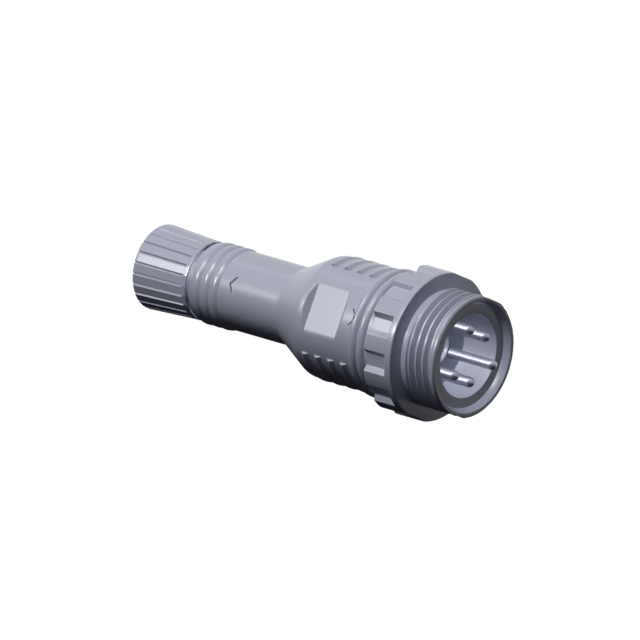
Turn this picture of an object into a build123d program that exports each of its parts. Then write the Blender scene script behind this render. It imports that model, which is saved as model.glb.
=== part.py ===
"""Gender changer adapter: a 7/8 inch five-pin male end on an M12 five-socket female end.

Millimetres.  +X runs along the axis towards the pins, -Y is the side with the label
window and +Z is up.  The origin is on the axis, at the front face of the slotted flange.
"""
import os
from math import atan, cos, degrees, radians, sin, sqrt, tan

from build123d import *

os.makedirs("parts", exist_ok=True)

# Clearances
running_gap = 0.07          # radial, between a coupling and the neck that it turns on
thrust_gap = 0.15           # axial, between a coupling's shoulder and its collar
seat_gap = 0.02             # round a contact or a seal in its seat

# Coupling ring of the pin end: threaded nose and slotted flange, moulded in one
thread_r = 11.1             # 7/8 inch thread, over its crests
nose_length = 8.0
nose_chamfer = 0.3
nose_flat = 10.65           # from the axis to each flat along the mould's parting line
relief_r = 10.55
relief_length = 0.9
mouth_r = 10.15             # wide end of the lead-in cone
mouth_depth = 1.25
flange_r = 13.5
flange_length = 6.3
flange_flat = 13.2
flange_edge = 0.25
notch_count = 12
notch_depth = 1.0           # from the rim to the notch's floor
notch_floor_half = 5.4      # degrees, half the notch's angle at its floor
notch_wall_slope = 45.0     # degrees, of the notch's side walls
notch_lip = 1.3             # flange left in front of the notches, at the rim
notch_end_slope = 35.0      # degrees, of the notch's front end

# Contact carrier of the pin end: shroud, floor and neck in one moulding
cavity_r = 7.65
cavity_depth = 7.6
shroud_wall = 1.9
shroud_collar = 1.55        # shroud left behind the cavity, which holds the coupling ring
carrier_neck_r = 8.55
carrier_tail = 4.35         # neck held in the overmould
recess_r = 3.6              # shallow round recess in the cavity's floor
recess_depth = 0.9
key_width = 2.0
key_height = 0.9
key_length = 5.0

# Contact pins: numbered round the circle, the last one is the long earth pin
pin_r = 0.97
pin_circle_r = 4.9
pin_angles = [-120.0, -60.0, 60.0, 120.0, 180.0]    # from the label side, seen from the pins
pin_reach = 7.85            # tip, in front of the flange's face
earth_reach = 9.4
dome_facets = 2             # straight facets in each pin's rounded tip

# Overmoulded body
ring_gap = 0.35             # between the coupling ring and the body
body_r = 11.1
body_length = 17.7          # from its front end to the corner of the cone
cone_length = 7.5
cone_blend = 0.4            # reach of the chamfer on each side of the cone's corner
neck_r = 7.13
neck_end = 52.25            # back end of the neck, behind the flange's face
front_land = 1.35           # plain stretch in front of the beads
bead_count = 2
bead_width = 1.9
bead_height = 0.62
bead_facets = 3
ripple_count = 3
ripple_width = 2.08
ripple_height = 0.33
ripple_facets = 3
ripple_margin = 0.5         # plain edge behind the ripples

# Grip ribs on the top and the bottom of the body
rib_count = 4
rib_pitch = 2.95
rib_width = 1.3
rib_height = 0.27
rib_half_span = 7.65        # from the middle plane to the ribs' square ends
rib_inset = 2.16            # first rib's middle, in front of the cone's corner

# Label window and direction marks
window_length = 7.3
window_inset = 2.35         # from the cone's corner to the window
window_floor = 10.1         # from the axis
mark_stroke = 0.3
mark_depth = 0.25
mark_length = 1.3
mark_half = 1.3
body_mark_tip = 11.35       # behind the flange's face, points to the coupling ring
neck_mark_tip = 43.5        # points to the coupling nut

# Coupling nut of the socket end
nut_back = 64.7             # open end of the nut, behind the flange's face
nut_length = 11.75
nut_back_r = 7.75           # over the corners between its flats, at the open end
nut_front_r = 7.15
nut_lip = 0.9               # smooth edge in front of the knurl
knurl_count = 24            # flats, with a groove along each corner
knurl_depth = 0.35
knurl_half = 2.2            # degrees, half the angle of one groove
nut_bore_r = 5.45           # M12 thread, inside its crests
nut_bore_chamfer = 0.4
nut_relief_r = 6.3
nut_relief_length = 2.8
nut_shoulder = 2.25         # length of the inner lip that pulls on the collar

# Socket carrier of the M12 end, and the sleeve on which the coupling nut turns
insert_r = 4.2
insert_recess = 0.8         # from the nut's open end to the insert's face
insert_chamfer = 0.3
insert_body_r = 4.5         # behind the step at the insert's foot
insert_step = 6.1           # from the insert's face to that step
sleeve_r = 5.1
sleeve_tail = 5.75          # sleeve held in the overmould
collar_r = 5.95
collar_width = 1.5
keyway_width = 1.3
keyway_depth = 0.9
seal_width = 0.8
seal_height = 0.75

# Contact sockets: four round the middle one
socket_circle_r = 2.6
socket_angles = [-135.0, -45.0, 45.0, 135.0]
socket_r = 0.75
socket_bore_r = 0.5
socket_bore_depth = 6.0
socket_recess = 1.0         # from the insert's face to the sockets

# Conductors between the two sets of contacts
wire_r = 0.65
wire_sides = 8
wire_end_gap = 0.05         # from the insulation to the contact

# Stations along the axis, from the flange's front face
flange_back = -flange_length
body_front = flange_back - ring_gap
cone_corner = body_front - body_length
cone_foot = cone_corner - cone_length
neck_back = -neck_end
shroud_front = nose_length - mouth_depth
shroud_r = cavity_r + shroud_wall
cavity_floor = shroud_front - cavity_depth
shroud_back = cavity_floor - shroud_collar
carrier_back = body_front - carrier_tail
nut_open = -nut_back
nut_front = nut_open + nut_length
collar_back = nut_front - nut_shoulder - thrust_gap
collar_front = collar_back - collar_width
insert_face = nut_open + insert_recess
insert_foot = insert_face + insert_step
insert_back = neck_back + sleeve_tail
socket_front = insert_face + socket_recess


def around(radius, angle):
    """Y and Z of a point at a radius, at an angle from the label side."""
    return (-radius * cos(radians(angle)), radius * sin(radians(angle)))


def facets(start, middle, end, count):
    """Points that divide the arc through three points into straight facets."""
    arc = ThreePointArc(start, middle, end, mode=Mode.PRIVATE)
    return [arc @ (k / count) for k in range(count + 1)]


def ridges(start, root_r, width, height, count, facet_count):
    """Profile points of rounded ridges side by side, along the axis from a start."""
    points = []
    for k in range(count):
        foot = start + k * width
        middle = (foot + width / 2, root_r + height)
        points += facets((foot, root_r), middle, (foot + width, root_r), facet_count)[:-1]
    return points + [(start + count * width, root_r)]


def write(piece, name):
    """Name a finished piece and write it to its own file."""
    piece.part.label = name
    export_step(piece.part, f"parts/{name}.step")


# Coupling ring: turned section, two flats, grip notches round the flange
notch_floor_r = flange_r - notch_depth
notch_top_r = flange_r + notch_depth
notch_floor_w = notch_floor_r * sin(radians(notch_floor_half))
notch_top_w = notch_floor_w + 2 * notch_depth * tan(radians(notch_wall_slope))
notch_rise = notch_depth * tan(radians(notch_end_slope))
with BuildPart() as coupling_ring:
    with BuildSketch(Plane.XY):
        with BuildLine():
            Polyline(
                (flange_back, carrier_neck_r + running_gap),
                (flange_back, flange_r),
                (-flange_edge, flange_r),
                (0, flange_r - flange_edge),
                (0, relief_r),
                (relief_length, relief_r),
                (relief_length + thread_r - relief_r, thread_r),
                (nose_length - nose_chamfer, thread_r),
                (nose_length, thread_r - nose_chamfer),
                (nose_length, mouth_r),
                (shroud_front, shroud_r + running_gap),
                (shroud_back - thrust_gap, shroud_r + running_gap),
                (shroud_back - thrust_gap, carrier_neck_r + running_gap),
                close=True,
            )
        make_face()
    revolve(axis=Axis.X)
    with BuildSketch(Plane.YZ):
        Rectangle(4 * flange_r, 4 * flange_r)
        Rectangle(4 * flange_r, 2 * nose_flat, mode=Mode.SUBTRACT)
    extrude(amount=nose_length, mode=Mode.SUBTRACT)
    with BuildSketch(Plane.YZ):
        Rectangle(4 * flange_r, 4 * flange_r)
        Rectangle(4 * flange_r, 2 * flange_flat, mode=Mode.SUBTRACT)
    extrude(amount=-flange_length, mode=Mode.SUBTRACT)

with BuildPart() as notch_tool:
    with BuildSketch(Plane.YZ.offset(flange_back)):
        with BuildLine():
            Polyline(
                (-notch_floor_r, -notch_floor_w),
                (-notch_top_r, -notch_top_w),
                (-notch_top_r, notch_top_w),
                (-notch_floor_r, notch_floor_w),
                close=True,
            )
        make_face()
    extrude(amount=flange_length)
    with BuildSketch(Plane.XY):
        with BuildLine():
            Polyline(
                (flange_back, -notch_floor_r),
                (-notch_lip - notch_rise, -notch_floor_r),
                (-notch_lip, -flange_r),
                (-notch_lip + notch_rise, -notch_top_r),
                (flange_back, -notch_top_r),
                close=True,
            )
        make_face()
    extrude(amount=2 * notch_top_w, both=True, mode=Mode.INTERSECT)

with coupling_ring:
    for k in range(notch_count):
        add(notch_tool.part.rotate(Axis.X, k * 360 / notch_count), mode=Mode.SUBTRACT)
write(coupling_ring, "coupling_ring")

# Contact carrier: shroud with a key rib, floor with the pin seats, neck in the overmould
with BuildPart() as contact_carrier:
    with BuildSketch(Plane.XY):
        with BuildLine():
            Polyline(
                (carrier_back, 0),
                (carrier_back, carrier_neck_r),
                (shroud_back, carrier_neck_r),
                (shroud_back, shroud_r),
                (shroud_front, shroud_r),
                (shroud_front, cavity_r),
                (cavity_floor, cavity_r),
                (cavity_floor, recess_r),
                (cavity_floor - recess_depth, recess_r),
                (cavity_floor - recess_depth, 0),
                close=True,
            )
        make_face()
    revolve(axis=Axis.X)
    with BuildSketch(Plane.YZ.offset(cavity_floor)):
        with Locations((-cavity_r, 0)):
            Rectangle(2 * key_height, key_width)
    extrude(amount=key_length)
    with BuildSketch(Plane.YZ.offset(carrier_back)):
        for angle in pin_angles:
            with Locations(around(pin_circle_r, angle)):
                Circle(pin_r + seat_gap)
    extrude(amount=cavity_floor - carrier_back, mode=Mode.SUBTRACT)
write(contact_carrier, "contact_carrier")

# Contact pins: round tip on a straight shank
for k, angle in enumerate(pin_angles, 1):
    tip = earth_reach if k == len(pin_angles) else pin_reach
    y, z = around(pin_circle_r, angle)
    dome = facets(
        (tip - pin_r, pin_r),
        (tip - pin_r * (1 - sqrt(0.5)), pin_r * sqrt(0.5)),
        (tip, 0),
        dome_facets,
    )
    with BuildPart() as contact_pin:
        with BuildSketch(Plane((0, y, z), x_dir=(1, 0, 0), z_dir=(0, 0, 1))):
            with BuildLine():
                Polyline((carrier_back, 0), (carrier_back, pin_r), *dome, close=True)
            make_face()
        revolve(axis=Axis((0, y, z), (1, 0, 0)))
    write(contact_pin, f"contact_pin_{k}")

# Conductors: straight insulated leads from each pin to its socket, and their channels
socket_places = [around(socket_circle_r, angle) for angle in socket_angles] + [(0, 0)]
channels = []
for k, angle in enumerate(pin_angles, 1):
    front = Vector(carrier_back - wire_end_gap, *around(pin_circle_r, angle))
    back = Vector(insert_back + wire_end_gap, *socket_places[k - 1])
    lead = Plane((front + back) / 2, z_dir=back - front)
    with BuildPart() as conductor:
        with BuildSketch(lead):
            RegularPolygon(wire_r, wire_sides)
        extrude(amount=(back - front).length / 2, both=True)
    write(conductor, f"conductor_{k}")
    with BuildPart() as channel:
        with BuildSketch(lead):
            RegularPolygon(wire_r + seat_gap, wire_sides)
        extrude(amount=(back - front).length, both=True)
    channels.append(channel)

# Overmoulded body: outer form, seats for the two contact carriers, conductor channels
slope = (body_r - neck_r) / cone_length
bead_start = body_front - front_land - bead_count * bead_width
with BuildPart() as overmould_body:
    with BuildSketch(Plane.XY):
        with BuildLine():
            Polyline(
                (neck_back, sleeve_r),
                (neck_back, neck_r),
                *ridges(neck_back + ripple_margin, neck_r, ripple_width, ripple_height,
                        ripple_count, ripple_facets),
                (cone_foot, neck_r),
                (cone_corner - cone_blend, body_r - cone_blend * slope),
                (cone_corner + cone_blend, body_r),
                *ridges(bead_start, body_r, bead_width, bead_height,
                        bead_count, bead_facets),
                (body_front, body_r),
                (body_front, carrier_neck_r),
                (carrier_back, carrier_neck_r),
                (carrier_back, 0),
                (insert_back, 0),
                (insert_back, sleeve_r),
                close=True,
            )
        make_face()
    revolve(axis=Axis.X)
    for channel in channels:
        add(channel.part, mode=Mode.SUBTRACT)

with BuildPart() as grip_ribs:
    with BuildSketch(Plane.XY):
        for k in range(rib_count):
            middle = cone_corner + rib_inset + k * rib_pitch
            with BuildLine():
                Polyline(
                    (middle - rib_width / 2, body_r - rib_height),
                    (middle - rib_width / 2, body_r),
                    (middle, body_r + rib_height),
                    (middle + rib_width / 2, body_r),
                    (middle + rib_width / 2, body_r - rib_height),
                    close=True,
                )
            make_face()
    revolve(axis=Axis.X)
    with Locations((cone_corner, 0, 0)):
        Box(3 * body_length, 2 * rib_half_span, 4 * body_r, mode=Mode.INTERSECT)

window_start = cone_corner + window_inset
with overmould_body:
    add(grip_ribs.part)
    with BuildSketch(Plane.XZ.offset(window_floor)):
        with Locations((window_start + window_length / 2, 0)):
            Rectangle(window_length, 2 * body_r)
    extrude(amount=body_r, mode=Mode.SUBTRACT)
    for tip, way, surface_r in ((-body_mark_tip, 1, body_r), (-neck_mark_tip, -1, neck_r)):
        tail = tip - way * mark_length
        stroke = way * mark_stroke
        with BuildSketch(Plane.XZ.offset(surface_r - mark_depth)):
            with BuildLine():
                Polyline(
                    (tail, mark_half),
                    (tail + stroke, mark_half),
                    (tip, 0),
                    (tail + stroke, -mark_half),
                    (tail, -mark_half),
                    (tip - stroke, 0),
                    close=True,
                )
            make_face()
        extrude(amount=body_r, mode=Mode.SUBTRACT)
write(overmould_body, "overmould_body")

# Coupling nut: tapered flats outside, thread bore, relief and inner lip inside
knurl_taper = (nut_back_r - nut_front_r) / nut_length
knurl_step = 360 / knurl_count
flat_taper = degrees(atan(knurl_taper * cos(radians(knurl_step / 2))))
with BuildPart() as coupling_nut:
    with BuildSketch(Plane.YZ.offset(nut_open)):
        RegularPolygon(nut_back_r, knurl_count, rotation=knurl_step / 2)
    extrude(amount=nut_length, taper=flat_taper)
    with BuildSketch(Plane.XY):
        with BuildLine():
            Polyline(
                (nut_open, 0),
                (nut_open, nut_bore_r + nut_bore_chamfer),
                (nut_open + nut_bore_chamfer, nut_bore_r),
                (nut_front - nut_shoulder - nut_relief_length, nut_bore_r),
                (nut_front - nut_shoulder - nut_relief_length, nut_relief_r),
                (nut_front - nut_shoulder, nut_relief_r),
                (nut_front - nut_shoulder, sleeve_r + running_gap),
                (nut_front, sleeve_r + running_gap),
                (nut_front, 0),
                close=True,
            )
        make_face()
    revolve(axis=Axis.X, mode=Mode.SUBTRACT)

# one groove of the knurl: a V prism that follows the nut's taper
knurl_rise = 3 * knurl_depth
knurl_reach = knurl_rise * nut_back_r * sin(radians(knurl_half)) / knurl_depth
knurl_foot = (nut_front - nut_lip, nut_front_r + knurl_taper * nut_lip - knurl_depth, 0)
with BuildPart() as knurl_tool:
    with BuildSketch(Plane(knurl_foot, x_dir=(knurl_taper, 1, 0), z_dir=(-1, knurl_taper, 0))):
        with BuildLine():
            Polyline((0, 0), (knurl_rise, knurl_reach), (knurl_rise, -knurl_reach), close=True)
        make_face()
    extrude(amount=1.5 * nut_length)

with coupling_nut:
    for k in range(knurl_count):
        add(knurl_tool.part.rotate(Axis.X, (k + 0.5) * knurl_step), mode=Mode.SUBTRACT)
write(coupling_nut, "coupling_nut")

# Nut sleeve: collar behind the nut's inner lip, and the neck that the nut turns on
with BuildPart() as nut_sleeve:
    with BuildSketch(Plane.XY):
        with BuildLine():
            Polyline(
                (collar_front, insert_body_r + seat_gap),
                (collar_front, collar_r),
                (collar_back, collar_r),
                (collar_back, sleeve_r),
                (insert_back, sleeve_r),
                (insert_back, insert_body_r + seat_gap),
                close=True,
            )
        make_face()
    revolve(axis=Axis.X)
write(nut_sleeve, "nut_sleeve")

# Socket carrier: stepped rod with its keyway and the contact bores
with BuildPart() as socket_carrier:
    with BuildSketch(Plane.XY):
        with BuildLine():
            Polyline(
                (insert_face, 0),
                (insert_face, insert_r - insert_chamfer),
                (insert_face + insert_chamfer, insert_r),
                (insert_foot, insert_r),
                (insert_foot, insert_body_r),
                (insert_back, insert_body_r),
                (insert_back, 0),
                close=True,
            )
        make_face()
    revolve(axis=Axis.X)
    with BuildSketch(Plane.YZ.offset(insert_face)):
        with Locations((-insert_r, 0)):
            Rectangle(2 * keyway_depth, keyway_width)
    extrude(amount=insert_step, mode=Mode.SUBTRACT)
    with BuildSketch(Plane.YZ.offset(insert_face)):
        for place in socket_places:
            with Locations(place):
                Circle(socket_r + seat_gap)
    extrude(amount=insert_back - insert_face, mode=Mode.SUBTRACT)
write(socket_carrier, "socket_carrier")

# Contact sockets: rods bored from the front
for k, (y, z) in enumerate(socket_places, 1):
    with BuildPart() as contact_socket:
        with BuildSketch(Plane((0, y, z), x_dir=(1, 0, 0), z_dir=(0, 0, 1))):
            with BuildLine():
                Polyline(
                    (socket_front, socket_bore_r),
                    (socket_front, socket_r),
                    (insert_back, socket_r),
                    (insert_back, 0),
                    (socket_front + socket_bore_depth, 0),
                    (socket_front + socket_bore_depth, socket_bore_r),
                    close=True,
                )
            make_face()
        revolve(axis=Axis((0, y, z), (1, 0, 0)))
    write(contact_socket, f"contact_socket_{k}")

# Face seal: a square-cut ring on the insert's step, against the sleeve's collar
with BuildPart() as face_seal:
    with BuildSketch(Plane.YZ.offset(collar_front)):
        Circle(insert_body_r + seat_gap + seal_height)
        Circle(insert_body_r + seat_gap, mode=Mode.SUBTRACT)
    extrude(amount=-seal_width)
write(face_seal, "face_seal")
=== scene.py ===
import bmesh
import bpy
import numpy as np
from mathutils import Matrix, Vector


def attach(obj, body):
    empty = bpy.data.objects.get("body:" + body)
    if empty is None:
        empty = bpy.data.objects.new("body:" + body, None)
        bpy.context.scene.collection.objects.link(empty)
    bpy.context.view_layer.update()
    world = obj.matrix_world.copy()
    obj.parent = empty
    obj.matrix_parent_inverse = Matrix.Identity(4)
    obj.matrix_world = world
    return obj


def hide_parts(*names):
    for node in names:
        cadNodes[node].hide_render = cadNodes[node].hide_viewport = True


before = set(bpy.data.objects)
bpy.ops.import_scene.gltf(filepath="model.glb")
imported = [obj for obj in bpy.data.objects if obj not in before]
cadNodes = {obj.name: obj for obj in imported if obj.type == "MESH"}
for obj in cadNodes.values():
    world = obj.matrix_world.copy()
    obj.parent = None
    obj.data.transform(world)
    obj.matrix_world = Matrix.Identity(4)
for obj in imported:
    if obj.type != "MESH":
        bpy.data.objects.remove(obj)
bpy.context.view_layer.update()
mm = 0.001
print("stage: frame loaded,", len(cadNodes), "nodes")

# Camera: orthographic like the picture, about 3 degrees below the axis and 52 degrees round
# from the pins towards the label side
view = {
    "right": Vector((0.7608, 0.5642, 0.3209)),
    "up": Vector((-0.2200, -0.2409, 0.9453)),
    "aim": Vector((-17.1, -13.05, -2.2)) * mm,
    "width": 112.9 * mm,
    "distance": 400 * mm,
}


def makeCamera():
    # columns of the matrix are the picture's right, up and towards-the-viewer directions
    right = view["right"].normalized()
    up = (view["up"] - right * view["up"].dot(right)).normalized()
    back = right.cross(up)
    place = view["aim"] + back * view["distance"]
    data = bpy.data.cameras.new("Camera")
    data.type = "ORTHO"
    data.ortho_scale = view["width"]
    data.clip_start, data.clip_end = 0.01, 3.0
    camera = bpy.data.objects.new("Camera", data)
    bpy.context.scene.collection.objects.link(camera)
    camera.matrix_world = Matrix((
        (right.x, up.x, back.x, place.x),
        (right.y, up.y, back.y, place.y),
        (right.z, up.z, back.z, place.z),
        (0, 0, 0, 1)))
    bpy.context.scene.camera = camera


makeCamera()
print("stage: camera")


# Materials

def colour(hexText):
    # sRGB hex to linear: below 0.04045 a straight line, above it a power of 2.4
    parts = np.array([int(hexText[i:i + 2], 16) for i in (1, 3, 5)]) / 255
    linear = np.where(parts <= 0.04045, parts / 12.92, ((parts + 0.055) / 1.055) ** 2.4)
    return (*linear.tolist(), 1.0)


def addNode(tree, kind, settings=None, inputs=None):
    # one node; an input takes a plain value, or another node's output, which is linked
    node = tree.nodes.new(kind)
    for key, value in (settings or {}).items():
        setattr(node, key, value)
    for key, value in (inputs or {}).items():
        if isinstance(value, bpy.types.NodeSocket):
            tree.links.new(value, node.inputs[key])
        else:
            node.inputs[key].default_value = value
    return node


def startMaterial(name):
    material = bpy.data.materials.new(name)
    material.use_nodes = True
    tree = material.node_tree
    tree.nodes.clear()
    return material, tree


def mouldedPlastic(name, look):
    # injection moulded plastic or rubber: satin, with the faint grain of an eroded mould and
    # slow changes of shade where the melt flowed round the cores
    material, tree = startMaterial(name)
    place = addNode(tree, "ShaderNodeTexCoord").outputs["Object"]
    flow = addNode(tree, "ShaderNodeTexNoise", inputs={
        "Vector": place, "Scale": 1 / (look["flowMm"] * mm), "Detail": 2.0})
    grain = addNode(tree, "ShaderNodeTexNoise", inputs={
        "Vector": place, "Scale": 1 / (look["grainMm"] * mm), "Detail": 3.0, "Roughness": 0.6})
    shade = addNode(tree, "ShaderNodeMix", {"data_type": "RGBA"}, {
        0: flow.outputs["Fac"], 6: colour(look["dark"]), 7: colour(look["light"])})
    gloss = addNode(tree, "ShaderNodeMapRange", inputs={
        "Value": grain.outputs["Fac"], "To Min": look["rough"] - 0.05,
        "To Max": look["rough"] + 0.05})
    bump = addNode(tree, "ShaderNodeBump", inputs={
        "Height": grain.outputs["Fac"], "Distance": look["grainHeightMm"] * mm,
        "Strength": 1.0})
    shader = addNode(tree, "ShaderNodeBsdfPrincipled", inputs={
        "Base Color": shade.outputs[2], "Roughness": gloss.outputs[0],
        "Normal": bump.outputs[0], "IOR": look["ior"]})
    addNode(tree, "ShaderNodeOutputMaterial", inputs={"Surface": shader.outputs[0]})
    return material


def platedMetal(name, look):
    # turned brass under thin plating: metallic, with fine turning lines across the contact.
    # The wave repeats 20 / (2 pi) times in one unit of its own place
    material, tree = startMaterial(name)
    place = addNode(tree, "ShaderNodeTexCoord").outputs["Object"]
    lines = addNode(tree, "ShaderNodeTexWave", {"wave_type": "BANDS", "bands_direction": "X"}, {
        "Vector": place, "Scale": 2 * np.pi / 20 / (look["lineMm"] * mm), "Distortion": 0.4})
    stain = addNode(tree, "ShaderNodeTexNoise", inputs={
        "Vector": place, "Scale": 1 / (look["stainMm"] * mm), "Detail": 2.0})
    shade = addNode(tree, "ShaderNodeMix", {"data_type": "RGBA"}, {
        0: stain.outputs["Fac"], 6: colour(look["dark"]), 7: colour(look["light"])})
    bump = addNode(tree, "ShaderNodeBump", inputs={
        "Height": lines.outputs["Fac"], "Distance": look["lineHeightMm"] * mm,
        "Strength": 0.5})
    shader = addNode(tree, "ShaderNodeBsdfPrincipled", inputs={
        "Base Color": shade.outputs[2], "Metallic": look["metallic"],
        "Roughness": look["rough"], "Normal": bump.outputs[0]})
    addNode(tree, "ShaderNodeOutputMaterial", inputs={"Surface": shader.outputs[0]})
    return material


# polyurethane overmould, blue grey, from an eroded steel mould: even satin, no sparkle
bodyPlastic = mouldedPlastic("MouldedPolyurethaneBlueGrey", {
    "dark": "#AEB2C4", "light": "#B6BACC", "rough": 0.30, "ior": 1.5,
    "flowMm": 9.0, "grainMm": 0.35, "grainHeightMm": 0.002})
# filled polyamide of the couplings, from polished moulds: the same shade, a little glossier
ringPlastic = mouldedPlastic("MouldedPolyamideRing", {
    "dark": "#ADB1C3", "light": "#B5B9CB", "rough": 0.29, "ior": 1.53,
    "flowMm": 6.0, "grainMm": 0.3, "grainHeightMm": 0.002})
nutPlastic = mouldedPlastic("MouldedPolyamideNut", {
    "dark": "#ACB0C2", "light": "#B4B8CA", "rough": 0.29, "ior": 1.53,
    "flowMm": 4.0, "grainMm": 0.3, "grainHeightMm": 0.002})
# polyamide of the two contact carriers, moulded, with a softer shine. Its colour is painted
# paler than the body's, as painted light standing in for light deep in the mouth; the socket rod
# shares it
carrierPaintedLightPlastic = mouldedPlastic("MouldedPolyamideCarrier", {
    "dark": "#B9BDCE", "light": "#C1C5D6", "rough": 0.36, "ior": 1.53,
    "flowMm": 6.0, "grainMm": 0.3, "grainHeightMm": 0.002})
# the nut's collar, moulded of the same polyamide, a shade darker and duller
sleevePlastic = mouldedPlastic("MouldedPolyamideSleeve", {
    "dark": "#A6AABD", "light": "#AEB2C6", "rough": 0.44, "ior": 1.53,
    "flowMm": 4.0, "grainMm": 0.3, "grainHeightMm": 0.002})
# extruded PVC, smooth from the die: dark, with a soft even shine
wirePlastic = mouldedPlastic("ExtrudedPvcInsulation", {
    "dark": "#232327", "light": "#2A2A2F", "rough": 0.5, "ior": 1.53,
    "flowMm": 4.0, "grainMm": 0.3, "grainHeightMm": 0.002})
# nitrile rubber, pressed in a ground mould: dull, near black
sealRubber = mouldedPlastic("PressedNitrileRubber", {
    "dark": "#1A1A1D", "light": "#212125", "rough": 0.62, "ior": 1.52,
    "flowMm": 2.0, "grainMm": 0.2, "grainHeightMm": 0.006})
# turning lines are about 0.02 mm apart on a real contact, drawn far coarser so that they
# show.  The matt nickel has a dull oxide skin, so it is only half metallic
pinMetal = platedMetal("MattNickelPlatedBrass", {
    "dark": "#A4A8B8", "light": "#B0B4C4", "rough": 0.40, "metallic": 0.55,
    "lineMm": 0.6283, "lineHeightMm": 0.002, "stainMm": 1.5})
# bright gold over turned brass: warm, clean reflections
socketMetal = platedMetal("GoldPlatedBrass", {
    "dark": "#D8B46A", "light": "#E4C27A", "rough": 0.28, "metallic": 1.0,
    "lineMm": 0.6283, "lineHeightMm": 0.002, "stainMm": 1.5})
print("stage: materials")


# Surfaces worked out with numpy

weldDistance = 0.0002 * mm


def softLess(a, b, blend):
    # the smaller of two tables; where they cross, a parabola rounds the corner over the blend
    share = np.clip(0.5 + 0.5 * (b - a) / blend, 0, 1)
    return b + (a - b) * share - blend * share * (1 - share)


def softMore(a, b, blend):
    return -softLess(-a, -b, blend)


def sectionRows(corners, steps=6):
    # a section's outline: each corner is (x, r, radius), and a corner with a radius becomes
    # an arc that touches both runs.  The arc's points are its centre plus the radius times
    # the unit directions between those of its two ends
    points = np.array([corner[:2] for corner in corners], dtype=float)
    rows = []
    for k, (x, r, radius) in enumerate(corners):
        if radius == 0:
            rows.append(points[k:k + 1])
            continue
        before = points[k - 1] - points[k]
        after = points[(k + 1) % len(points)] - points[k]
        before, after = before / np.hypot(*before), after / np.hypot(*after)
        half = np.arccos(np.clip(before @ after, -1, 1)) / 2
        middle = (before + after) / np.hypot(*(before + after))
        centre = points[k] + middle * radius / np.sin(half)
        first = points[k] + before * radius / np.tan(half) - centre
        last = points[k] + after * radius / np.tan(half) - centre
        share = np.linspace(0, 1, steps)[:, None]
        way = first * (1 - share) + last * share
        rows.append(centre + radius * way / np.linalg.norm(way, axis=1)[:, None])
    return np.concatenate(rows)


def ridgeHeight(x, middle, width, height):
    # height of a round ridge: a circle's arc over the width, zero outside it
    bow = (width ** 2 / 4 + height ** 2) / (2 * height)
    away = np.clip(np.abs(x - middle), 0, width / 2)
    return np.sqrt(bow ** 2 - away ** 2) - (bow - height)


def ridgeRows(base, start, width, height, count, steps):
    # rows over round ridges that stand side by side towards -X: x, and r as the base plus
    # the height of each ridge
    x = np.concatenate([start - width * (k + np.linspace(0, 1, steps)[:-1])
                        for k in range(count)] + [[start - width * count]])
    r = base + sum(ridgeHeight(x, start - width * (k + 0.5), width, height)
                   for k in range(count))
    return np.stack((x, r), axis=1)


def threadRows(start, end, pitch, crest, foot, soft):
    # one thread's section, repeated from a pitch before the start up to the end: place along
    # the axis, and depth as a share, 0 on the crest and 1 at the root.  The crest and the
    # foot of the flank are measured from the crest's middle
    phase = np.array([-crest - soft, -crest, crest, crest + soft,
                      foot - soft, foot + soft, pitch - foot - soft, pitch - foot + soft])
    share = np.array([0.06, 0, 0, 0.06, 0.95, 1, 1, 0.95])
    turns = np.arange(np.floor((start - pitch) / pitch), np.ceil(end / pitch) + 1) * pitch
    return (turns[:, None] + phase).ravel(), np.tile(share, len(turns))


def turnsOf(*parts):
    # one rising list of angles in radians from several lists in degrees, 0 and 360 included
    angles = np.concatenate([np.atleast_1d(part) for part in parts]) % 360
    angles = np.unique(np.round(np.append(angles, 0), 3))
    return np.radians(np.append(angles, 360.0))


def turnedPiece(name, x, r, turn, loop, centre=(0.0, 0.0)):
    # rows of a section carried round the X axis: x and r are tables of row by column, and
    # column j stands at the angle turn[j], from the label side (-Y) towards -Z, so
    # y = -r cos(turn) and z = -r sin(turn).  The first and last column meet, a row with
    # r = 0 closes to a pole, and a looped section's last row joins its first
    y, z = centre[0] - r * np.cos(turn), centre[1] - r * np.sin(turn)
    points = np.stack((x, y, z), axis=-1).reshape(-1, 3) * mm
    rows, columns = x.shape
    row = np.arange(rows if loop else rows - 1)[:, None]
    below, column = (row + 1) % rows, np.arange(columns - 1)
    faces = np.stack((row * columns + column, row * columns + column + 1,
                      below * columns + column + 1, below * columns + column), axis=-1)
    mesh = bpy.data.meshes.new(name)
    mesh.from_pydata(points.tolist(), [], faces.reshape(-1, 4).tolist())
    return weldedPiece(name, mesh)


def weldedPiece(name, mesh, flatAngle=0.0):
    # doubles are merged, which closes seams and poles, faces that meet at less than the flat
    # angle become one, and then the normals point outwards
    shape = bmesh.new()
    shape.from_mesh(mesh)
    bmesh.ops.remove_doubles(shape, verts=shape.verts, dist=weldDistance)
    bmesh.ops.dissolve_degenerate(shape, edges=shape.edges, dist=weldDistance)
    if flatAngle:
        bmesh.ops.dissolve_limit(shape, angle_limit=np.radians(flatAngle),
                                 verts=shape.verts, edges=shape.edges)
    bmesh.ops.recalc_face_normals(shape, faces=shape.faces)
    shape.to_mesh(mesh)
    shape.free()
    piece = bpy.data.objects.new(name, mesh)
    bpy.context.scene.collection.objects.link(piece)
    return piece


def bakeModifiers(piece):
    graph = bpy.context.evaluated_depsgraph_get()
    mesh = bpy.data.meshes.new_from_object(piece.evaluated_get(graph))
    piece.modifiers.clear()
    piece.data = mesh


def finishPiece(piece, node, body, material, crease=28.0):
    # smooth faces, except across edges sharper than the crease angle in degrees
    mesh = piece.data
    mesh.shade_smooth()
    mesh.set_sharp_from_angle(angle=np.radians(crease))
    mesh.materials.clear()
    mesh.materials.append(material)
    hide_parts(node)
    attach(piece, body)


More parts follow.
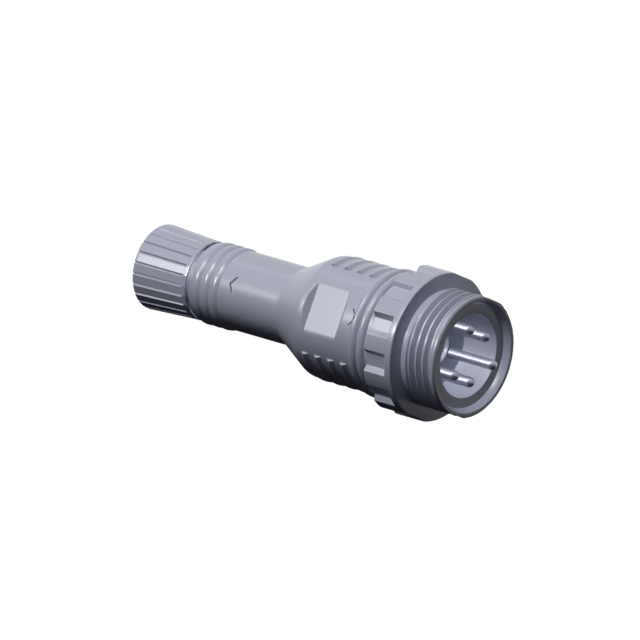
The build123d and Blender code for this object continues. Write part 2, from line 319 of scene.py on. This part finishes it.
# Coupling ring: threaded nose and slotted flange, in millimetres and degrees.  The relief
# behind the thread and the rim with the bore are sections of (x, r, corner radius)
ringShape = {
    "threadR": 11.1, "threadDepth": 0.94, "pitch": 1.5875, "threadStart": 1.5,
    "threadEnd": 7.4, "threadLead": 0.55, "crestHalf": 0.08, "flankFoot": 0.60,
    "threadSoft": 0.05, "fadeIn": 0.5, "fadeOut": 0.35, "noseFlat": 10.65, "noseSoft": 0.04,
    "relief": [(0.0, 10.55, 0.0), (0.9, 10.55, 0.1), (1.45, 11.1, 0.08), (1.5, 11.1, 0.0)],
    "rim": [(7.45, 11.1, 0.0), (7.72, 11.1, 0.15), (8.0, 10.8, 0.08), (8.0, 10.15, 0.08),
            (6.75, 9.62, 0.0), (-2.55, 9.62, 0.0), (-2.55, 8.62, 0.0), (-6.3, 8.62, 0.0)],
    "flangeBack": -6.3, "flangeR": 13.5, "flangeFlat": 13.2, "flatHalf": 16.4,
    "flatSoft": 0.05, "backEdge": 0.13, "frontEdge": 0.25, "notches": 12, "floorR": 12.5,
    "floorHalf": 5.4, "endFoot": -2.0, "endSlope": 35.0, "notchSoft": 0.09,
}


def acrossFlats(half, turn):
    # distance from the axis to a pair of planes z = half and z = -half
    return half / np.clip(np.abs(np.sin(turn)), 0.1, 1)


def flangeLimit(x, turn):
    # how far out the flange reaches: its rim, cut by the two flats and by the notches.
    # In a notch the limit is the highest of the floor plane, the 45 degree side plane
    # (r cos d - r sin d = floor - half width) and the sloping end plane, where d is the
    # angle from the notch's middle
    look = ringShape
    halfStep = np.pi / look["notches"]
    fromMiddle = np.abs((turn + halfStep) % (2 * halfStep) - halfStep)
    halfWidth = look["floorR"] * np.sin(np.radians(look["floorHalf"]))
    floor = look["floorR"] / np.cos(fromMiddle)
    side = (look["floorR"] - halfWidth) / (np.cos(fromMiddle) - np.sin(fromMiddle))
    end = look["floorR"] + (x - look["endFoot"]) / np.tan(np.radians(look["endSlope"]))
    notch = softMore(softMore(floor, side, look["notchSoft"]), end / np.cos(fromMiddle),
                     look["notchSoft"])
    flat = acrossFlats(look["flangeFlat"], turn)
    return softLess(softLess(look["flangeR"] + 0 * x, flat, look["flatSoft"]), notch,
                    look["notchSoft"])


def makeRing():
    look = ringShape
    # columns stand closer together at the notches' walls and at the ends of the flats
    notch = np.array([0, 1.6, 3.2, 4.5, 5.0, 5.4, 5.8, 6.3, 7.2, 7.9, 8.3, 8.6, 8.9, 9.3,
                      10.2, 12, 13.5, 15])
    notch = np.concatenate((notch, -notch))
    middles = np.arange(look["notches"])[:, None] * 360 / look["notches"]
    flatEnds = np.array([[90], [270]]) + np.array([-1, 1]) * look["flatHalf"]
    turn = turnsOf((middles + notch).ravel(), flatEnds.ravel())
    # flange rows: place, and how far the edges are rounded off
    back = np.radians(np.linspace(90, 0, 5))
    front = np.radians(np.linspace(0, 90, 6))
    between = np.concatenate((np.linspace(-6.0, -2.4, 7), np.linspace(-2.2, -1.1, 14), [-0.8]))
    flangeX = np.concatenate((
        look["flangeBack"] + look["backEdge"] * (1 - np.sin(back)), between,
        look["frontEdge"] * (np.sin(front) - 1)))[:, None] + 0 * turn
    flangeDrop = np.concatenate((
        look["backEdge"] * (1 - np.cos(back)), 0 * between,
        look["frontEdge"] * (1 - np.cos(front))))[:, None]
    flangeR = flangeLimit(flangeX, turn) - flangeDrop
    # nose rows: relief, thread and rim, all cut by the nose's flats.  The thread's rows lean:
    # each moves one pitch along the axis in a turn, held between the thread's ends, and its
    # groove fades out there
    relief, rim = sectionRows(look["relief"], 4), sectionRows(look["rim"], 5)
    place, share = threadRows(look["threadStart"], look["threadEnd"], look["pitch"],
                              look["crestHalf"], look["flankFoot"], look["threadSoft"])
    threadX = place[:, None] + look["threadLead"] + look["pitch"] * turn / (2 * np.pi)
    threadX = np.clip(threadX, look["threadStart"], look["threadEnd"])
    fade = (np.clip((threadX - look["threadStart"]) / look["fadeIn"], 0, 1)
            * np.clip((look["threadEnd"] - threadX) / look["fadeOut"], 0, 1))
    threadR = look["threadR"] - look["threadDepth"] * share[:, None] * fade
    noseX = np.concatenate((relief[:, :1] + 0 * turn, threadX, rim[:, :1] + 0 * turn))
    noseR = np.concatenate((relief[:, 1:] + 0 * turn, threadR, rim[:, 1:] + 0 * turn))
    noseR = softLess(noseR, acrossFlats(look["noseFlat"], turn), look["noseSoft"])
    piece = turnedPiece("slottedRing", np.concatenate((flangeX, noseX)),
                        np.concatenate((flangeR, noseR)), turn, True)
    finishPiece(piece, "coupling_ring", "coupling_ring", ringPlastic)


makeRing()
print("stage: coupling ring")


# Contact carrier: shroud, cavity with its key rib, recess in the floor.  The section runs
# from the tail's middle over the outside and the rim to the recess's middle
carrierShape = {
    "section": [
        (-11.0, 0.0, 0), (-11.0, 8.55, 0), (-2.4, 8.55, 0), (-2.4, 9.55, 0),
        (6.75, 9.55, 0.12), (6.75, 7.65, 0.12), (4.3, 7.65, 0), (4.16, 7.65, 0),
        (4.14, 7.65, 0), (3.0, 7.65, 0), (1.0, 7.65, 0), (-0.85, 7.65, 0.15),
        (-0.85, 3.6, 0.12), (-1.75, 3.6, 0.1), (-1.75, 0.0, 0)],
    "wallR": (7.4, 7.7), "wallStart": -1.0, "keyTop": 6.75, "keyHalf": 8.0, "keySide": 0.2,
    "keyEnd": 4.15,
}
# Contact pins: four and the longer earth pin, which is the fifth
pinShape = {
    "radius": 0.97, "circleR": 4.9, "angles": (-120, -60, 60, 120, 180), "tail": -11.0,
    "neck": -1.0, "tips": (7.85, 7.85, 7.85, 7.85, 9.4),
}


def makeCarrier():
    look = carrierShape
    keyEdge = look["keyHalf"] + np.array([-0.15, -0.05, 0.05, 0.15])
    turn = turnsOf(np.arange(0, 360, 3), keyEdge, -keyEdge)
    rows = sectionRows(look["section"], 5)
    x, r = rows[:, :1] + 0 * turn, rows[:, 1:] + 0 * turn
    # the key rib: inside its half angle the cavity's wall comes in to the rib's flat top
    fromKey = np.degrees(np.abs((turn + np.pi) % (2 * np.pi) - np.pi))
    share = np.clip((look["keyHalf"] - fromKey) / look["keySide"] + 0.5, 0, 1)
    share = share * (x < look["keyEnd"])
    top = look["keyTop"] / np.cos(np.radians(np.clip(fromKey, 0, 20)))
    wall = (x > look["wallStart"]) & (r > look["wallR"][0]) & (r < look["wallR"][1])
    r = np.where(wall, r * (1 - share) + np.minimum(r, top) * share, r)
    piece = turnedPiece("pinCarrier", x, r, turn, False)
    finishPiece(piece, "contact_carrier", "adapter_body", carrierPaintedLightPlastic)


def makePins():
    # a straight shank with a half ball on its end
    look = pinShape
    radius = look["radius"]
    turn = turnsOf(np.arange(0, 360, 7.5))
    ball = np.radians(np.linspace(0, 90, 13))
    r = np.concatenate(([0.0, radius, radius], radius * np.cos(ball)))
    r[-1] = 0.0
    for k, (angle, tip) in enumerate(zip(np.radians(look["angles"]), look["tips"]), 1):
        x = np.concatenate(([look["tail"], look["tail"], look["neck"]],
                            tip - radius + radius * np.sin(ball)))
        centre = (-look["circleR"] * np.cos(angle), look["circleR"] * np.sin(angle))
        piece = turnedPiece(f"roundPin{k}", x[:, None] + 0 * turn, r[:, None] + 0 * turn,
                            turn, False, centre)
        finishPiece(piece, f"contact_pin_{k}", "adapter_body", pinMetal)


makeCarrier()
makePins()
print("stage: contact carrier and pins")


# Overmoulded body: beads, ribs, label window, cone, neck and ripples.  The mouth, the cone
# and the rear are sections of (x, r, corner radius); the marks are chevrons, each with its
# tip, the way it points and the radius of the skin there
bodyShape = {
    "bodyR": 11.1, "neckR": 7.13,
    "mouth": [(-11.0, 0, 0), (-11.0, 8.55, 0), (-6.65, 8.55, 0), (-6.65, 11.1, 0.16),
              (-7.7, 11.1, 0)],
    "beadStart": -8.0, "beadWidth": 1.9, "beadHeight": 0.62, "beads": 2,
    "plainFront": -11.85, "plainBack": -23.95,
    "cone": [(-23.9, 11.1, 0), (-24.35, 11.1, 1.6), (-26.0, 10.2266, 0), (-28.0, 9.168, 0),
             (-30.0, 8.1093, 0), (-31.85, 7.13, 0.8), (-33.0, 7.13, 0)],
    "neck": (-34, -45), "rippleStart": -45.51, "rippleWidth": 2.08, "rippleHeight": 0.33,
    "ripples": 3,
    "rear": [(-51.9, 7.13, 0), (-52.25, 7.13, 0.14), (-52.25, 5.1, 0), (-46.5, 5.1, 0),
             (-46.5, 0, 0)],
    "ribMiddles": (-22.19, -19.24, -16.29, -13.34), "ribWidth": 1.55, "ribTop": 11.36,
    "ribCrestR": 12.83, "ribSpan": 7.65, "ribSoft": 0.2, "ribFoot": 0.1,
    "ribEndTurns": (46.36, 46.51, 133.49, 133.64), "windowBack": -22.15,
    "windowFront": -15.1, "windowFloor": 10.1, "windowSoft": 0.2, "rampReach": 1.5,
    "markStroke": 0.52, "markDepth": 0.65, "markLength": 1.6, "markHalf": 1.55,
    "marks": ((-11.0, 1, 11.1), (-43.5, -1, 7.13)),
}


def markCutter(name, tip, way, surfaceR):
    # a chevron's outline in X and Z, its depth along Y from inside the skin to outside it
    look = bodyShape
    tail, stroke = tip - way * look["markLength"], way * look["markStroke"]
    half = look["markHalf"]
    outline = np.array([(tail, half), (tail + stroke, half), (tip, 0), (tail + stroke, -half),
                        (tail, -half), (tip - stroke, 0)])
    points = np.array([(x, -r, z) for r in (surfaceR - look["markDepth"], surfaceR + 1.0)
                       for x, z in outline]) * mm
    side = [(k, (k + 1) % 6, 6 + (k + 1) % 6, 6 + k) for k in range(6)]
    mesh = bpy.data.meshes.new(name)
    mesh.from_pydata(points.tolist(), [], [tuple(range(6)), tuple(range(11, 5, -1))] + side)
    return weldedPiece(name, mesh)


def bodyRows():
    # the body's section before ribs and window: rows stand closer together on the ribs and
    # at the window's ramps
    look = bodyShape
    back, front, reach = look["windowBack"], look["windowFront"], look["rampReach"]
    rampX = np.concatenate((np.linspace(back - reach, back - 0.06, 17), [back, back + 0.06],
                            [front - 0.06, front], np.linspace(front + 0.06, front + reach, 17)))
    ribX = np.array(look["ribMiddles"])[:, None] + np.linspace(-0.5, 0.5, 13) * look["ribWidth"]
    evenX = np.linspace(look["plainBack"] + 0.15, look["plainFront"] - 0.05, 24)
    plainX = np.unique(np.round(np.concatenate((rampX, ribX.ravel(), evenX)), 2))[::-1]
    plain = np.stack((plainX, np.full(len(plainX), look["bodyR"])), axis=1)
    neck = np.stack((np.linspace(*look["neck"], 12), np.full(12, look["neckR"])), axis=1)
    beads = ridgeRows(look["bodyR"], look["beadStart"], look["beadWidth"],
                      look["beadHeight"], look["beads"], 13)
    ripples = ridgeRows(look["neckR"], look["rippleStart"], look["rippleWidth"],
                        look["rippleHeight"], look["ripples"], 11)
    return np.concatenate((sectionRows(look["mouth"]), beads, plain,
                           sectionRows(look["cone"], 7), neck, ripples,
                           sectionRows(look["rear"])))


def makeBody():
    look = bodyShape
    around = np.concatenate((np.arange(0.8, 28, 0.8), look["ribEndTurns"]))
    turn = turnsOf(np.arange(0, 360, 2.5), around, -around)
    rows = bodyRows()
    x, r = rows[:, :1] + 0 * turn, rows[:, 1:] + 0 * turn
    # grip ribs, only where |y| is less than the span: a tent along the axis with a round
    # ridge.  The crest is an arc flatter than the skin, so a rib stands highest at its ends;
    # its distance from the axis is  c cos s + sqrt(R^2 - (c sin s)^2)  at the angle s from Z,
    # where R is the crest's radius and c = top - R its centre's height
    plain = (x < look["plainFront"]) & (x > look["plainBack"])
    away = np.min(np.abs(x[..., None] - np.array(look["ribMiddles"])), axis=-1)
    tent = softMore(softLess(1 - 2 * away / look["ribWidth"], 0.92 + 0 * away,
                             look["ribSoft"]), 0 * away, look["ribFoot"])
    centre = look["ribTop"] - look["ribCrestR"]
    crest = (centre * np.abs(np.sin(turn))
             + np.sqrt(look["ribCrestR"] ** 2 - (centre * np.cos(turn)) ** 2))
    inSpan = np.clip((look["ribSpan"] + 0.01 - look["bodyR"] * np.abs(np.cos(turn))) / 0.02,
                     0, 1)
    r = r + (crest - look["bodyR"]) * tent * inSpan * plain
    # label window: a plane y = -floor with a ramp of 45 degrees up to the skin at each end
    ramp = np.maximum(0, np.maximum(look["windowBack"] - x, x - look["windowFront"]))
    floor = (look["windowFloor"] + ramp) / np.clip(np.cos(turn), 0.5, 1)
    labelSide = plain & (np.cos(turn) > 0.5)
    r = np.where(labelSide, softLess(r, floor, look["windowSoft"]), r)
    piece = turnedPiece("gripBody", x, r, turn, False)
    for tip, way, skin in look["marks"]:
        cutter = markCutter("chevronCutter", tip, way, skin)
        cut = piece.modifiers.new("chevron", "BOOLEAN")
        cut.object, cut.operation, cut.solver = cutter, "DIFFERENCE", "EXACT"
        bakeModifiers(piece)
        bpy.data.objects.remove(cutter)
    finishPiece(piece, "overmould_body", "adapter_body", bodyPlastic)


makeBody()
print("stage: overmoulded body")


# Coupling nut: tapered outside with flats and a groove at each corner, threaded inside
nutShape = {
    "backR": 7.684, "frontR": 7.089, "back": -64.7, "front": -52.95, "backEdge": 0.2,
    "frontEdge": 0.16, "grooves": 24, "grooveDepth": 0.34, "grooveHalf": 1.6,
    "grooveFront": -53.85, "grooveSoft": 0.25, "grooveFade": 0.12,
    "lip": [(-52.95, 5.17, 0.1), (-55.2, 5.17, 0), (-55.2, 6.3, 0), (-58.0, 6.3, 0),
            (-58.0, 5.45, 0)],
    "boreR": 5.45, "threadDepth": 0.54, "pitch": 1.0, "threadStart": -64.15,
    "threadEnd": -58.05, "crestHalf": 0.12, "flankFoot": 0.44, "threadSoft": 0.03,
    "fade": 0.3,
    "mouth": [(-64.3, 5.45, 0), (-64.7, 5.85, 0.08), (-64.7, 7.0, 0)],
}


def makeNut():
    look = nutShape
    step = 360 / look["grooves"]
    groove = np.array([0, 0.4, 0.8, 1.2, 1.5, 1.75, 2.1, 3.2, 4.6, 6.0, 7.5])
    groove = np.concatenate((groove, -groove))
    turn = turnsOf((np.arange(look["grooves"])[:, None] * step + step / 2 + groove).ravel())
    taper = (look["frontR"] - look["backR"]) / (look["front"] - look["back"])
    bend = np.radians(np.linspace(0, 90, 6))
    between = np.concatenate((np.linspace(-64.0, -54.3, 9),
                              [-54.05, -53.95, -53.9, -53.85, -53.8, -53.7, -53.4]))
    outX = np.concatenate((look["back"] + look["backEdge"] * (1 - np.cos(bend)), between,
                           look["front"] - look["frontEdge"] * (1 - np.cos(bend[::-1]))))
    drop = np.concatenate((look["backEdge"] * (1 - np.sin(bend)), 0 * between,
                           look["frontEdge"] * (1 - np.sin(bend[::-1]))))
    outX, drop = outX[:, None] + 0 * turn, drop[:, None]
    # flats: a plane at the radius r gives r / cos(angle from the flat's middle).  Grooves: a
    # V along each corner, whose depth falls from the middle to the half angle, soft lipped
    fromGroove = np.abs(np.degrees(turn) % step - step / 2)
    depth = look["grooveDepth"] * softMore(1 - fromGroove / look["grooveHalf"],
                                           0 * fromGroove, look["grooveSoft"])
    length = np.clip((look["grooveFront"] - outX) / look["grooveFade"] + 0.5, 0, 1)
    flat = look["backR"] + taper * (outX - look["back"])
    outR = flat / np.cos(np.radians(step / 2 - fromGroove)) - drop - depth * length
    # inside: lip, collar space, thread with its leaning rows, and the open mouth
    lip, mouth = sectionRows(look["lip"], 4), sectionRows(look["mouth"], 4)
    start, end = look["threadStart"], look["threadEnd"]
    place, share = threadRows(start, end, look["pitch"], look["crestHalf"],
                              look["flankFoot"], look["threadSoft"])
    place, share = place[::-1], share[::-1]
    threadX = np.clip(place[:, None] + look["pitch"] * turn / (2 * np.pi), start, end)
    fade = (np.clip((threadX - start) / look["fade"], 0, 1)
            * np.clip((end - threadX) / look["fade"], 0, 1))
    threadR = look["boreR"] + look["threadDepth"] * share[:, None] * fade
    x = np.concatenate((outX, lip[:, :1] + 0 * turn, threadX, mouth[:, :1] + 0 * turn))
    r = np.concatenate((outR, lip[:, 1:] + 0 * turn, threadR, mouth[:, 1:] + 0 * turn))
    piece = turnedPiece("groovedNut", x, r, turn, True)
    finishPiece(piece, "coupling_nut", "coupling_nut", nutPlastic)


makeNut()
print("stage: coupling nut")


# Socket end: the rod with its keyway and bores and the collar keep the CAD shapes, with
# small rounded edges, and the seal is a cord with round corners
socketEndShape = {
    "flatAngle": 0.8, "edge": 0.08, "edgeAngle": 40.0, "sealX": -57.25, "sealR": 4.895,
    "sealHalfX": 0.4, "sealHalfR": 0.37,
}


def makeRoundedCopy(node, name, material):
    # the CAD node's own triangles, merged, with the flat ones joined into whole faces
    look = socketEndShape
    piece = weldedPiece(name, cadNodes[node].data.copy(), look["flatAngle"])
    bevel = piece.modifiers.new("edges", "BEVEL")
    bevel.width, bevel.segments, bevel.limit_method = look["edge"] * mm, 2, "ANGLE"
    bevel.angle_limit = np.radians(look["edgeAngle"])
    bakeModifiers(piece)
    finishPiece(piece, node, "adapter_body", material)


def makeSeal():
    # a square with round corners, carried round the axis: each side's coordinate is its half
    # width times the square root of the cosine or sine, with their sign
    look = socketEndShape
    turn = turnsOf(np.arange(0, 360, 4))
    way = np.radians(np.arange(0, 360, 15))
    across, up = np.cos(way), np.sin(way)
    x = look["sealX"] + look["sealHalfX"] * np.sign(across) * np.abs(across) ** 0.5
    r = look["sealR"] + look["sealHalfR"] * np.sign(up) * np.abs(up) ** 0.5
    piece = turnedPiece("cordSeal", x[:, None] + 0 * turn, r[:, None] + 0 * turn, turn, True)
    finishPiece(piece, "face_seal", "adapter_body", sealRubber, 50.0)


makeRoundedCopy("socket_carrier", "socketRod", carrierPaintedLightPlastic)
makeRoundedCopy("nut_sleeve", "collarSleeve", sleevePlastic)
makeSeal()

# sockets and conductors keep their CAD meshes and get their finish
for name, node in cadNodes.items():
    if name.startswith(("contact_socket", "conductor")):
        node.data.materials.clear()
        node.data.materials.append(
            socketMetal if name.startswith("contact_socket") else wirePlastic)
print("stage: socket end")


# Stage: floor, background and lights
stageLook = {
    "floorZ": -13.25 * mm,
    "floorSize": 3.0,
    "floorTint": "#A0A0A0",
    "floorBounce": "#303136",
    "floorGlow": 0.78,
    "fill": 0.06,
}


def makeFloor():
    half = stageLook["floorSize"] / 2
    z = stageLook["floorZ"]
    mesh = bpy.data.meshes.new("Floor")
    mesh.from_pydata([(-half, -half, z), (half, -half, z), (half, half, z), (-half, half, z)],
                     [], [(0, 1, 2, 3)])
    floor = bpy.data.objects.new("Floor", mesh)
    bpy.context.scene.collection.objects.link(floor)
    # paper, matt and white: from above it keeps the shadow, from below it is clear, and the
    # light that it throws back on the object is dark
    material, tree = startMaterial("PaperFloor")
    seen = addNode(tree, "ShaderNodeLightPath").outputs["Is Camera Ray"]
    shade = addNode(tree, "ShaderNodeMix", {"data_type": "RGBA"}, {
        0: seen, 6: colour(stageLook["floorBounce"]), 7: colour(stageLook["floorTint"])})
    sheet = addNode(tree, "ShaderNodeBsdfDiffuse", inputs={"Color": shade.outputs[2]})
    glow = addNode(tree, "ShaderNodeMath", {"operation": "MULTIPLY"}, {
        0: seen, 1: stageLook["floorGlow"]})
    pale = addNode(tree, "ShaderNodeEmission", inputs={
        "Color": (1, 1, 1, 1), "Strength": glow.outputs[0]})
    paper = addNode(tree, "ShaderNodeAddShader", inputs={
        0: sheet.outputs[0], 1: pale.outputs[0]})
    clear = addNode(tree, "ShaderNodeBsdfTransparent")
    side = addNode(tree, "ShaderNodeNewGeometry").outputs["Backfacing"]
    mix = addNode(tree, "ShaderNodeMixShader", inputs={
        0: side, 1: paper.outputs[0], 2: clear.outputs[0]})
    addNode(tree, "ShaderNodeOutputMaterial", inputs={"Surface": mix.outputs[0]})
    mesh.materials.append(material)


def makeBackground():
    # white where it is seen, also in reflections, and a weak even fill otherwise
    world = bpy.data.worlds.new("Studio")
    world.use_nodes = True
    tree = world.node_tree
    tree.nodes.clear()
    rays = addNode(tree, "ShaderNodeLightPath")
    straight = addNode(tree, "ShaderNodeMath", {"operation": "MAXIMUM"}, {
        0: rays.outputs["Is Camera Ray"], 1: rays.outputs["Is Glossy Ray"]})
    seen = addNode(tree, "ShaderNodeMath", {"operation": "MAXIMUM"}, {
        0: straight.outputs[0], 1: rays.outputs["Is Transmission Ray"]})
    level = addNode(tree, "ShaderNodeMix", {"data_type": "FLOAT"}, {
        0: seen.outputs[0], 2: stageLook["fill"], 3: 1.0})
    light = addNode(tree, "ShaderNodeBackground", inputs={
        "Color": (1, 1, 1, 1), "Strength": level.outputs[0]})
    addNode(tree, "ShaderNodeOutputWorld", inputs={"Surface": light.outputs[0]})
    bpy.context.scene.world = world


# Lamps: the direction each shines from, its size in metres and its power in watts.  The fill
# and the line lights throw no shadow, so that they reach the pins deep in the mouth, and the
# line light in front only adds the shine along the ridges
lampDistance = 0.6
lampLooks = {
    "KeySoftBox": {"from": (0.10, -0.85, 0.51), "size": 0.16, "power": 0.4},
    "FillSoftBox": {"from": (-0.24, -0.83, 0.50), "size": 0.22, "power": 2.3,
                    "shadow": False},
    "LineLight": {"from": (-0.46, -0.89, 0.03), "size": 0.05, "power": 2.1,
                  "shadow": False, "lights": False},
    "TopLineLight": {"from": (-0.61, -0.22, 0.76), "size": 0.06, "power": 0.06,
                     "shadow": False},
    "BackSoftBox": {"from": (-0.30, 0.94, 0.15), "size": 0.30, "power": 1.7},
}


def addLamp(name, look):
    # a square soft box, turned towards the camera's aim
    data = bpy.data.lights.new(name, "AREA")
    data.size, data.energy = look["size"], look["power"]
    data.use_shadow = look.get("shadow", True)
    lamp = bpy.data.objects.new(name, data)
    direction = Vector(look["from"])
    lamp.location = view["aim"] + direction.normalized() * lampDistance
    lamp.rotation_mode = "QUATERNION"
    lamp.rotation_quaternion = direction.to_track_quat("Z", "Y")
    lamp.visible_diffuse = look.get("lights", True)
    bpy.context.scene.collection.objects.link(lamp)


makeFloor()
makeBackground()
for name, look in lampLooks.items():
    addLamp(name, look)
bpy.context.scene.view_settings.view_transform = "Standard"
print("stage: floor and lights")
